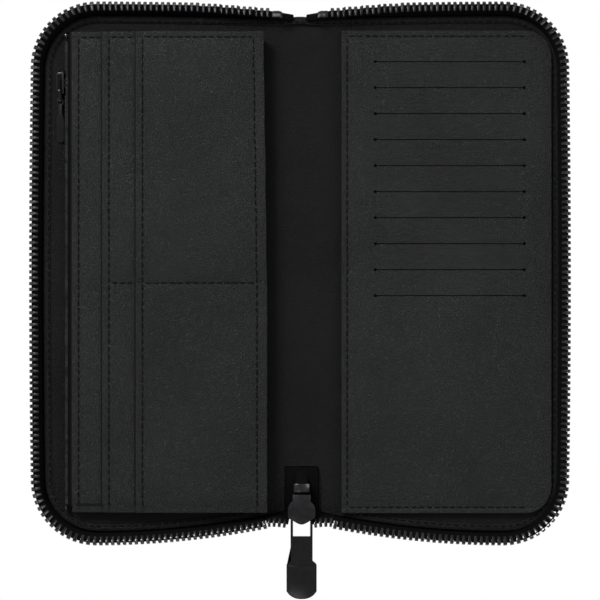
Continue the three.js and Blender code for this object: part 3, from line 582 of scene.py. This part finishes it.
def studio():
    """A white floor, a camera straight above and soft lamps."""
    clear()
    bpy.ops.mesh.primitive_plane_add(size=FLOOR_SIZE, location=FLOOR_PLACE)
    floor = settle(bpy.context.object, "floor")
    paper = material("white_paper_sweep", "ffffff", Roughness=0.9)
    tree = paper.node_tree
    glow = node(paper, "ShaderNodeEmission", Strength=1.0)
    rays = node(paper, "ShaderNodeLightPath")
    first = node(paper, "ShaderNodeMath", operation="MAXIMUM")
    second = node(paper, "ShaderNodeMath", operation="MAXIMUM")
    tree.links.new(rays.outputs["Is Camera Ray"], first.inputs[0])
    tree.links.new(rays.outputs["Is Glossy Ray"], first.inputs[1])
    tree.links.new(first.outputs[0], second.inputs[0])
    tree.links.new(rays.outputs["Is Transmission Ray"], second.inputs[1])
    mixed = node(paper, "ShaderNodeMixShader")
    tree.links.new(second.outputs[0], mixed.inputs["Fac"])
    tree.links.new(tree.nodes["Principled BSDF"].outputs[0], mixed.inputs[1])
    tree.links.new(glow.outputs[0], mixed.inputs[2])
    tree.links.new(mixed.outputs[0], tree.nodes["Material Output"].inputs["Surface"])
    floor.data.materials.append(paper)

    world = bpy.data.worlds.new("soft_white_room")
    bpy.context.scene.world = world
    world.use_nodes = True
    world.node_tree.nodes["Background"].inputs["Color"].default_value = (1, 1, 1, 1)
    world.node_tree.nodes["Background"].inputs["Strength"].default_value = ROOM_LIGHT

    for name, place, size, power in LAMPS:
        light = bpy.data.lights.new(name, "AREA")
        light.size = size
        light.energy = power
        lamp = bpy.data.objects.new(name, light)
        lamp.location = place
        lamp.rotation_euler = (-Vector(place)).to_track_quat("-Z", "Y").to_euler()
        bpy.context.scene.collection.objects.link(lamp)

    eye = bpy.data.cameras.new("camera")
    eye.lens = CAMERA_LENS
    eye.sensor_width = CAMERA_SENSOR
    camera = bpy.data.objects.new("camera", eye)
    camera.location = CAMERA_PLACE
    bpy.context.scene.collection.objects.link(camera)
    bpy.context.scene.camera = camera
    bpy.context.scene.view_settings.view_transform = "Standard"


def recalculate(piece):
    """All faces point outwards."""
    pick(piece, "FACE", lambda c, n: True)
    bpy.ops.mesh.normals_make_consistent(inside=False)
    clear()


def twin(piece, name):
    """A copy with its own mesh."""
    only(piece)
    bpy.ops.object.duplicate()
    return settle(bpy.context.object, name)


def mirrored(piece, name):
    """The same piece for the left half."""
    copy = twin(piece, name)
    copy.scale.x = -1
    settle(copy, name)
    recalculate(copy)
    return copy


def join(pieces, name):
    """Several pieces become one."""
    clear()
    for piece in pieces:
        piece.select_set(True)
    bpy.context.view_layer.objects.active = pieces[0]
    bpy.ops.object.join()
    return settle(bpy.context.object, name)


# Pieces that follow the rim

def guide_curve(anchors, smoothness=12):
    """A flat curve through anchors, each with its place, its handle before and its handle after."""
    clear()
    bpy.ops.curve.primitive_bezier_curve_add()
    guide = bpy.context.object
    guide.location = (0, 0, 0)
    guide.data.dimensions = "2D"
    guide.data.resolution_u = smoothness
    points = guide.data.splines[0].bezier_points
    points.add(len(anchors) - len(points))
    for point, places in zip(points, anchors):
        point.handle_left_type = "FREE"
        point.handle_right_type = "FREE"
        for key, place in zip(("co", "handle_left", "handle_right"), places):
            setattr(point, key, (place[0] * MM, place[1] * MM, 0))
    return guide


def rim_curve(inset=0.0):
    """The right half's edge from the spine's top round to its bottom, moved in by an inset."""
    anchors = []
    for places in RIM:
        inward = Vector((0, -1 if places[0][1] > 0 else 1))
        if abs(places[0][0]) > SIDE_CORNER - 1:
            inward = Vector((-1, 0))
        anchors.append([Vector(place) + inward * inset for place in places])
    return guide_curve(anchors, RIM_SMOOTHNESS)


def bend(piece):
    """The piece's place goes into its mesh; nothing is bent."""
    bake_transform(piece)


def along_rim(bar, guide, name):
    """A bar made along X is bent along the guide: its Y points out of the rim."""
    finish_modifier(bar, "CURVE", object=guide, deform_axis="POS_X")
    return settle(bar, name)


def rim_strip(name, guide, section, start=0.0, end=None):
    """A strip along the rim: its section is a list of (outwards, up) points in millimetres."""
    length = guide.data.splines[0].calc_length() / MM
    end = length if end is None else end
    clear()
    bpy.ops.mesh.primitive_circle_add(vertices=len(section), radius=MM, fill_type="NGON")
    strip = bpy.context.object
    for vertex, (out, up) in zip(strip.data.vertices, section):
        vertex.co = (start * MM, out * MM, up * MM)
    strip.data.update()
    pick(strip, "FACE", lambda c, n: True)
    bpy.ops.mesh.extrude_region_move(TRANSFORM_OT_translate={"value": ((end - start) * MM, 0, 0)})
    clear()
    bisect(strip, 0, spread(start, end, RIM_STEP))
    recalculate(strip)
    return along_rim(strip, guide, name)


def arrayed(piece, count, pitch):
    """The piece is repeated along X."""
    finish_modifier(piece, "ARRAY", count=count, use_relative_offset=False,
                    use_constant_offset=True, constant_offset_displace=(pitch * MM, 0, 0))
    return piece


def one_stitch(length=STITCH_LENGTH):
    """One stitch along X: a short thread that sinks into the leather at both ends."""
    clear()
    bpy.ops.mesh.primitive_cylinder_add(vertices=6, radius=THREAD_RADIUS * MM, depth=length * MM)
    piece = bpy.context.object
    piece.rotation_euler = (0, math.pi / 2, 0)
    settle(piece, "stitch")
    shoulder = length * STITCH_SHOULDER
    bisect(piece, 0, [-shoulder, shoulder])
    pick(piece, "VERT", lambda c, n: abs(c.x) > shoulder + NEAR)
    bpy.ops.transform.translate(value=(0, 0, -STITCH_END_SINK * MM))
    bpy.ops.transform.resize(value=(1, STITCH_END_SHARE, STITCH_END_SHARE),
                             center_override=(0, 0, -STITCH_END_SINK * MM))
    clear()
    return piece


def stitch_line(name, start, end):
    """A straight row of stitches between two places in millimetres."""
    start, end = Vector(start), Vector(end)
    run = end - start
    count = max(1, round(run.length / STITCH_PITCH))
    pitch = run.length / count
    row = one_stitch(pitch * THREAD_SHARE)
    row.location.x = pitch / 2 * MM
    settle(row, name)
    arrayed(row, count, pitch)
    row.rotation_euler = run.to_track_quat("X", "Z").to_euler()
    row.location = start * MM
    settle(row, name)
    return soften(row, 60)


def rim_stitches(name, guide, end):
    """A row of stitches along the rim's binding."""
    count = round(end / STITCH_PITCH)
    row = one_stitch()
    row.location = (STITCH_PITCH / 2 * MM, RIM_THREAD_OUT * MM, RIM_THREAD_UP * MM)
    settle(row, name)
    arrayed(row, count, end / count)
    return soften(along_rim(row, guide, name), 60)


def zip_tooth():
    """One moulded tooth: a leg on the tape that rises outwards to a rounded head with a scoop."""
    tooth = block("tooth", (TOOTH_START, TOOTH_BACK, -TOOTH_THICK / 2),
                  (TOOTH_START + TOOTH_WIDTH, TOOTH_REACH, TOOTH_THICK / 2))
    bisect(tooth, 1, TOOTH_CUTS)
    pick(tooth, "VERT", lambda c, n: c.y < TOOTH_LEG_REACH)
    bpy.ops.transform.resize(value=TOOTH_LEG_SHARE,
                             center_override=((TOOTH_START + TOOTH_WIDTH / 2) * MM, 0, 0))
    pick(tooth, "FACE", lambda c, n: n.z > 0.5 and c.y > TOOTH_CUTS[1])
    bpy.ops.mesh.inset(thickness=TOOTH_SCOOP_IN * MM)
    bpy.ops.transform.translate(value=(0, 0, -TOOTH_SCOOP_DEEP * MM))
    clear()
    finish_modifier(tooth, "BEVEL", width=TOOTH_ROUND * MM, segments=2, limit_method="ANGLE",
                    angle_limit=math.radians(50))
    tooth.rotation_euler = (math.radians(TOOTH_RISE), 0, 0)
    tooth.location = (0, TOOTH_FOOT_OUT * MM, TOOTH_FOOT_UP * MM)
    return settle(tooth, "tooth")


def zip_teeth(name, guide):
    """The row of teeth on one side of the main zip."""
    length = guide.data.splines[0].calc_length() / MM
    count = int((length - CHAIN_START - CHAIN_END) / TOOTH_PITCH)
    row = zip_tooth()
    row.location.x = CHAIN_START * MM
    settle(row, name)
    arrayed(row, count, TOOTH_PITCH)
    return soften(along_rim(row, guide, name), 35)


def build_bridges():
    """Tape and teeth from the end of each rim into the slider's mouth."""
    guide = guide_curve(BRIDGE)
    length = guide.data.splines[0].calc_length() / MM
    tape = rim_strip("zip_tape_run_right", guide, BRIDGE_SECTION)
    row = zip_tooth()
    row.location = [place * MM for place in BRIDGE_TOOTH]
    settle(row, "teeth")
    arrayed(row, int(length / TOOTH_PITCH), TOOTH_PITCH)
    teeth = soften(along_rim(row, guide, "zip_teeth_run_right"), 35)
    for piece, made, slot, nodes in ((soften(tape, 50), TAPE, "zip_tape", "zip_tape_bridge"),
                                     (teeth, TEETH, "zip_metal", "zip_chain_bridge")):
        other = mirrored(piece, piece.name.replace("right", "left"))
        for side, half in ((piece, "right"), (other, "left")):
            dress(side, made, None, slot, f"{nodes}_{half}")
            bend(side)
    bpy.data.objects.remove(guide)


def build_rim():
    """Binding, its stitches, tape, cord, top stops and teeth of both halves."""
    guide = rim_curve()
    length = guide.data.splines[0].calc_length() / MM
    binding = rim_strip("rim_binding_strip_right", guide, BINDING_SECTION, end=length - BINDING_END)
    tape = rim_strip("zip_tape_wall_right", guide, TAPE_SECTION, TAIL_START, length - TAPE_END)
    cord = rim_strip("zip_tape_edge_cord_right", guide, CORD_SECTION, TAIL_START, length - CORD_END)
    stop = rim_strip("zip_top_stop_bar_right", guide, STOP_SECTION, STOP_START, CHAIN_START - STOP_GAP)
    finish_modifier(stop, "BEVEL", width=STOP_ROUND * MM, segments=2, limit_method="ANGLE")
    teeth = zip_teeth("zip_teeth_row_right", guide)
    for piece in (tape, cord, stop, teeth):
        for line, lean in LEAN_STEPS:
            shift(piece, lambda c: c.x < line and c.y > TOP_SIDE and c.z > LEAN_ABOVE, y=-lean)
    for piece in (tape, cord):
        for above, fall in TAIL_STEPS:
            shift(piece, lambda c: c.x < TAIL_START + TAIL_REACH and c.y > TOP_SIDE and c.z > above,
                  TAIL_OUT, TAIL_IN, -fall)
    threads = rim_stitches("binding_stitches_right", guide, length - THREAD_END)
    for piece, made, slot, nodes in (
            (soften(binding, 50), BINDING, "lining_leather", "rim_binding"),
            (soften(tape, 50), TAPE, "zip_tape", "zip_tape"),
            (soften(cord, 60), TAPE, "zip_tape", None),
            (soften(stop, 40), TEETH, "zip_metal", "zip_top_stop"),
            (threads, THREAD, "lining_leather", None),
            (teeth, TEETH, "zip_metal", "zip_chain")):
        other = mirrored(piece, piece.name.replace("right", "left"))
        if piece in (binding, threads):
            for line in BINDING_SHIFT_LINES:
                shift(piece, lambda c: c.x > line, x=RIGHT_BINDING_SHIFT / 3)
        for side, half in ((piece, "right"), (other, "left")):
            stood_for = [f"{nodes}_{half}"] if nodes else []
            if piece in (binding, threads):
                dress(side, made, None, slot, *stood_for)
                bend(side)
            else:
                dress(side, made, f"{half}_half", slot, *stood_for)
    bpy.data.objects.remove(guide)


# Sheets

def half_sheet(name, inset, low, high):
    """A sheet of the right half between two heights, from the middle of the spine to the rim."""
    sheet = rim_curve(inset)
    only(sheet)
    bpy.ops.object.convert(target="MESH")
    sheet = bpy.context.object
    last_x = RIM[-1][0][0]
    pick(sheet, "VERT", lambda c, n: c.x < last_x + NEAR and c.y < 0)
    bpy.ops.mesh.extrude_vertices_move(TRANSFORM_OT_translate={"value": (-last_x * MM, 0, 0)})
    clear()
    pick(sheet, "VERT", lambda c, n: True)
    bpy.ops.mesh.edge_face_add()
    bpy.ops.transform.translate(value=(0, 0, low * MM))
    bpy.ops.mesh.extrude_region_move(TRANSFORM_OT_translate={"value": (0, 0, (high - low) * MM)})
    clear()
    recalculate(sheet)
    bisect(sheet, 0, FOLD_CUTS + spread(*SHEET_ACROSS, SHEET_STEP))
    bisect(sheet, 1, spread(*SHEET_ALONG, SHEET_STEP))
    return settle(sheet, name)


def cut_notch(side, reach):
    """The notch at the spine's lower end is cut out of the lining, and its walls are closed."""
    bisect(side, 1, [NOTCH_TOP])
    pick(side, "FACE", lambda c, n: reach > abs(c.x) and c.y < NOTCH_TOP)
    bpy.ops.mesh.delete(type="FACE")
    clear()
    # Nothing is picked, so that only the open edges are selected next
    pick(side, "EDGE", lambda c, n: False)
    bpy.ops.mesh.select_non_manifold()
    bpy.ops.mesh.fill()
    clear()
    recalculate(side)


def build_shell():
    """Cover and lining of both halves and of the spine between them, and a near-black sheet that paints the
    shade in the notch.
    """
    cover = half_sheet("outer_cover_right", 0.0, 0.0, COVER_TOP)
    cover_left = mirrored(cover, "outer_cover_left")
    for side, half, nodes in ((cover, "right", ("outer_cover_right", "outer_cover_spine")),
                              (cover_left, "left", ("outer_cover_left",))):
        dress(soften(side, 40), COVER, None, "cover_leather", *nodes)
        bend(side)

    lining = half_sheet("inner_lining_right", LINING_INSET, LINING_LOW, LINING_TOP)
    for cut in FOLD_CUTS:
        shift(lining, lambda c: c.x < cut + NEAR, z=-LINING_SINK / len(FOLD_CUTS))
    lining_left = mirrored(lining, "inner_lining_left")
    cut_notch(lining, NOTCH_RIGHT)
    cut_notch(lining_left, NOTCH_LEFT)
    for side, half, nodes in ((lining, "right", ("lining_right", "lining_spine")),
                              (lining_left, "left", ("lining_left",))):
        dress(soften(side, 40), LINING, None, "lining_leather", *nodes)
        bend(side)

    # A near-black sheet paints the shade in the notch
    shade_sheet = panel("notch_shade_sheet", NOTCH_SHADE_LOW, NOTCH_SHADE_HIGH)
    dress(shade_sheet, NOTCH_SHADE, "spine", "pocket_cloth")


def panel(name, low, high, channels_x=(), channels_y=(), corner=0.0, cuts_x=(), cuts_y=(), edge=0.3):
    """A leather panel with turned edges and pressed channels for its stitches."""
    sheet = block(name, low, high)
    if corner:
        pick(sheet, "EDGE", lambda c, d: abs(d.z) > 0.9 and c.x > (low[0] + high[0]) / 2)
        bpy.ops.mesh.bevel(offset=corner * MM, segments=10, affect="EDGES")
        clear()
    for axis, places in ((0, channels_x), (1, channels_y)):
        for place in places:
            bisect(sheet, axis, [place - CHANNEL_HALF, place, place + CHANNEL_HALF])
    bisect(sheet, 1, spread(low[1], high[1], PANEL_STEP) + list(cuts_y))
    bisect(sheet, 0, spread(low[0], high[0], PANEL_STEP) + list(cuts_x))
    top = high[2]
    shift(sheet, lambda c: c.z > top - NEAR and (
        any(abs(c.x - x) < NEAR for x in channels_x) or any(abs(c.y - y) < NEAR for y in channels_y)),
        z=-CHANNEL_DEPTH)
    finish_modifier(sheet, "BEVEL", width=edge * MM, segments=3, limit_method="ANGLE",
                    angle_limit=math.radians(60))
    return soften(sheet, 50)


def stitch_rows(name, up, runs):
    """Rows of stitches at one height, each between two places, as one piece."""
    return join([stitch_line("thread", (*start, up), (*end, up)) for start, end in runs], name)


def dip(piece):
    """The lower ends of the block's sheets bend down under the rim."""
    for share in DIP_SHARES:
        line = DIP_START - DIP_REACH * (share - DIP_SHARES[0])
        shift(piece, lambda c: c.y < line + NEAR, z=-DIP_FALL * share)


def slant(piece):
    """The block's right edge runs a little outwards from top to bottom."""
    for line, step in SLANT_STEPS:
        shift(piece, lambda c: c.x > SLANT_LINE and c.y > line, x=step)
    shift(piece, lambda c: c.x > SLANT_LINE, x=SLANT_RIGHT)


def build_left_block():
    """The long slip pocket and the card pockets on it, with their seams."""
    for name, left, bottom, top, seam in LEFT_PANELS:
        seam_left = left + BLOCK_SEAM_LEFT_IN
        sheet = panel(f"{name}_leather", (left, BLOCK_BOTTOM, bottom), (BLOCK_RIGHT, BLOCK_TOP, top),
                      channels_x=(seam_left, BLOCK_SEAM_RIGHT), channels_y=(BLOCK_SEAM_TOP, *seam),
                      cuts_y=BLOCK_CUTS)
        right = BLOCK_SEAM_RIGHT - ROW_RIGHT_GAP
        runs = [((seam_left, BLOCK_SEAM_TOP - ROW_GAP), (seam_left, BLOCK_SEAM_BOTTOM)),
                ((left + TOP_ROW_START, BLOCK_SEAM_TOP), (right, BLOCK_SEAM_TOP))]
        for y in seam:
            runs.append(((left + CROSS_ROW_START, y), (right, y)))
        if name.endswith("inner"):
            runs.append(((BLOCK_SEAM_RIGHT, BLOCK_SEAM_TOP - ROW_GAP), (BLOCK_SEAM_RIGHT, BLOCK_SEAM_BOTTOM)))
        row = stitch_rows(f"{name}_stitches", top - THREAD_SINK, runs)
        # Beside each panel's left edge a dull black strip paints the shade in the gap under that edge
        gap_shade = panel(f"{name}_painted_edge", (left - GAP_SHADE_OUT, BLOCK_SEAM_BOTTOM, bottom - GAP_SHADE_UNDER),
                      (left + GAP_SHADE_UNDER, BLOCK_TOP - GAP_SHADE_UNDER, top - GAP_SHADE_DOWN),
                      cuts_y=BLOCK_CUTS, edge=GAP_SHADE_ROUND)
        for piece in (sheet, row, gap_shade):
            dip(piece)
        slant(sheet)
        slant(row)
        dress(gap_shade, EDGE, "left_half", "panel_leather")
        dress(sheet, PANEL, "left_half", "panel_leather", name)
        dress(row, THREAD, "left_half", "panel_leather")


def build_card_panel():
    """The right half's card panel with its ten slots and a stitched edge."""
    low, high = CARD_LOW, CARD_HIGH
    left, bottom, top = low[0] + CARD_SEAM_IN, low[1] + CARD_SEAM_IN, high[1] - CARD_SEAM_IN
    face = high[2]
    sheet = panel("card_panel_leather", low, high, channels_x=(left,), channels_y=(top, bottom),
                  corner=CARD_CORNER, cuts_x=CARD_CUTS)
    for line in CARD_FALL_LINES:
        shift(sheet, lambda c: c.x > line, z=-CARD_FALL_STEP)
    slots = []
    for i in range(SLOT_COUNT):
        y = SLOT_TOP - i * SLOT_PITCH
        slots.append(block("slot", (SLOT_LEFT, y - SLOT_HALF, face - SLOT_REACH),
                           (SLOT_RIGHT, y + SLOT_HALF, face + SLOT_REACH)))
        for x in (SLOT_LEFT, SLOT_RIGHT):
            clear()
            bpy.ops.mesh.primitive_cylinder_add(vertices=20, radius=SLOT_EYE * MM, depth=2 * SLOT_REACH * MM,
                                                location=(x * MM, y * MM, face * MM))
            slots.append(settle(bpy.context.object, "slot_eye"))
    cutter = join(slots, "slot_cutter")
    finish_modifier(sheet, "BOOLEAN", object=cutter, operation="DIFFERENCE", solver="EXACT", use_self=True)
    bpy.data.objects.remove(cutter)
    soften(sheet, 50)
    row = stitch_rows("card_panel_stitches", face - THREAD_SINK, (
        ((left, top - ROW_GAP), (left, bottom + ROW_GAP)),
        ((left + 2 * ROW_GAP, top), (high[0] - CARD_CORNER, top)),
        ((left + 2 * ROW_GAP, bottom), (high[0] - CARD_CORNER, bottom))))
    dress(sheet, PANEL, "right_half", "panel_leather", "card_panel")
    dress(row, THREAD, "right_half", "panel_leather")


def refined(cad_node, name, body, made, slot, width, segments):
    """A copy of a CAD node whose sharp edges are rounded, as a cast, cut or pressed part has them."""
    clear()
    source = NODES[cad_node]
    piece = source.copy()
    piece.data = source.data.copy()
    piece.parent = None
    for key in list(piece.keys()):
        del piece[key]
    bpy.context.scene.collection.objects.link(piece)
    pick(piece, "VERT", lambda c, n: True)
    bpy.ops.mesh.remove_doubles(threshold=0.00001)
    bpy.ops.mesh.dissolve_limited(angle_limit=math.radians(2))
    clear()
    settle(piece, name)
    finish_modifier(piece, "BEVEL", width=width * MM, segments=segments, limit_method="ANGLE",
                    angle_limit=math.radians(35), use_clamp_overlap=True)
    if cad_node == "main_pull":
        shift(piece, lambda c: c.y < PULL_NECK_Y, y=-PULL_HEAD_DOWN)
    dress(soften(piece, 45), made, body, slot, cad_node)


def build_coin_zip():
    """Two straight rows of small teeth, one above the other, half a pitch apart along the zip."""
    count = int((COIN_TOP - COIN_END) / COIN_PITCH)
    for name, along, low, high in COIN_ROWS:
        start = COIN_END + along
        tooth = block("small_tooth", (COIN_TOOTH_LEFT, start, low),
                      (COIN_TOOTH_RIGHT, start + COIN_TOOTH_LENGTH, high))
        pick(tooth, "FACE", lambda c, n: n.x < -0.5)
        bpy.ops.mesh.inset(thickness=COIN_TOOTH_STEP_IN * MM)
        bpy.ops.transform.translate(value=(-COIN_TOOTH_STEP_OUT * MM, 0, 0))
        clear()
        finish_modifier(tooth, "BEVEL", width=COIN_TOOTH_ROUND * MM, segments=1)
        finish_modifier(tooth, "ARRAY", count=count, use_relative_offset=False, use_constant_offset=True,
                        constant_offset_displace=(0, COIN_PITCH * MM, 0))
        settle(tooth, f"coin_zip_teeth_{name}")
        soften(tooth, 35)
        dress(tooth, TEETH, "left_half", "zip_metal", f"coin_zip_chain_{name}")


def build_copies():
    """Sliders and pulls, then boards, pocket cloth, tapes and stops, all with rounded edges."""
    for row in CASTINGS:
        refined(*row, segments=2)
    for row in SOFT_PARTS:
        refined(*row, segments=1)


studio()
dress_nodes()
build_shell()
build_rim()
build_bridges()
build_left_block()
build_coin_zip()
build_card_panel()
build_copies()
